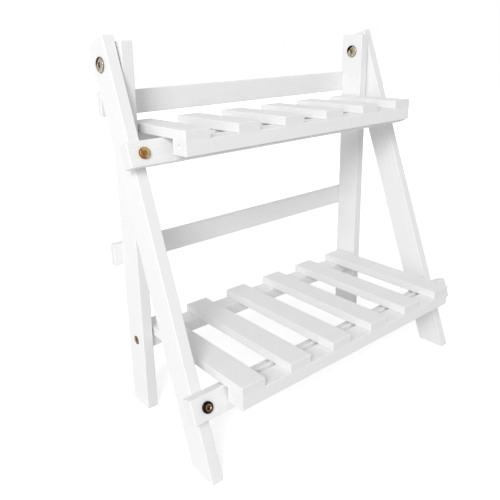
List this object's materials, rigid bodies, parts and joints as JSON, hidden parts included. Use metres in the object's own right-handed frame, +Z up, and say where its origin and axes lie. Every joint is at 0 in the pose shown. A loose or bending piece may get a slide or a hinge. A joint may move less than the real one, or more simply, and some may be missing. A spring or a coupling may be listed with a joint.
{
  "type": "desktop shelf",
  "caption": "Folding A-frame desktop shelf in white painted wood: slatted tiers hinge on upright rear legs and hook over beams on leaning front legs.",
  "frame": {"origin": "on the floor, at the middle of the part's box", "axes": "+X along the shelves to the right, -Y to the front, where the legs lean out, +Z up"},
  "size_m": [0.428, 0.1948, 0.4197],
  "materials": {
    "white_paint": "satin white paint on pine, grain just showing",
    "antique_brass": "antique brass plate, darker in the recesses",
    "zinc_steel": "zinc plated steel"
  },
  "bodies": {
    "rear_frame": {"left_rear_leg": "white_paint", "right_rear_leg": "white_paint", "lower_back_rail": "white_paint", "upper_back_rail": "white_paint", "back_rail_screws": "zinc_steel", "left_pivot_bolt": "antique_brass", "right_pivot_bolt": "antique_brass", "left_pivot_sleeve": "antique_brass", "right_pivot_sleeve": "antique_brass", "pivot_washers": "zinc_steel"},
    "front_frame": {"left_front_leg": "white_paint", "right_front_leg": "white_paint", "lower_beam": "white_paint", "upper_beam": "white_paint", "lower_beam_screws": "antique_brass", "upper_beam_screws": "antique_brass"},
    "lower_shelf": {"lower_front_rail": "white_paint", "lower_rear_rail": "white_paint", "lower_slat_1": "white_paint", "lower_slat_2": "white_paint", "lower_slat_3": "white_paint", "lower_slat_4": "white_paint", "lower_slat_5": "white_paint", "lower_slat_6": "white_paint", "lower_slat_brads": "zinc_steel", "lower_hinge_screws": "antique_brass", "lower_hinge_washers": "zinc_steel"},
    "upper_shelf": {"upper_front_rail": "white_paint", "upper_rear_rail": "white_paint", "upper_slat_1": "white_paint", "upper_slat_2": "white_paint", "upper_slat_3": "white_paint", "upper_slat_4": "white_paint", "upper_slat_5": "white_paint", "upper_slat_6": "white_paint", "upper_slat_brads": "zinc_steel", "upper_hinge_screws": "antique_brass", "upper_hinge_washers": "zinc_steel"}
  },
  "joints": [
    {"name": "front_frame_fold", "type": "hinge", "parent": "rear_frame", "child": "front_frame", "pos_m": [0, 0.0724, 0.392], "axis": [1, 0, 0], "range_deg": [0, 19.3]},
    {"name": "lower_shelf_lift", "type": "hinge", "parent": "rear_frame", "child": "lower_shelf", "pos_m": [0, 0.0724, 0.084], "axis": [-1, 0, 0], "range_deg": [0, 89]},
    {"name": "upper_shelf_lift", "type": "hinge", "parent": "rear_frame", "child": "upper_shelf", "pos_m": [0, 0.0724, 0.317], "axis": [-1, 0, 0], "range_deg": [0, 89]}
  ]
}
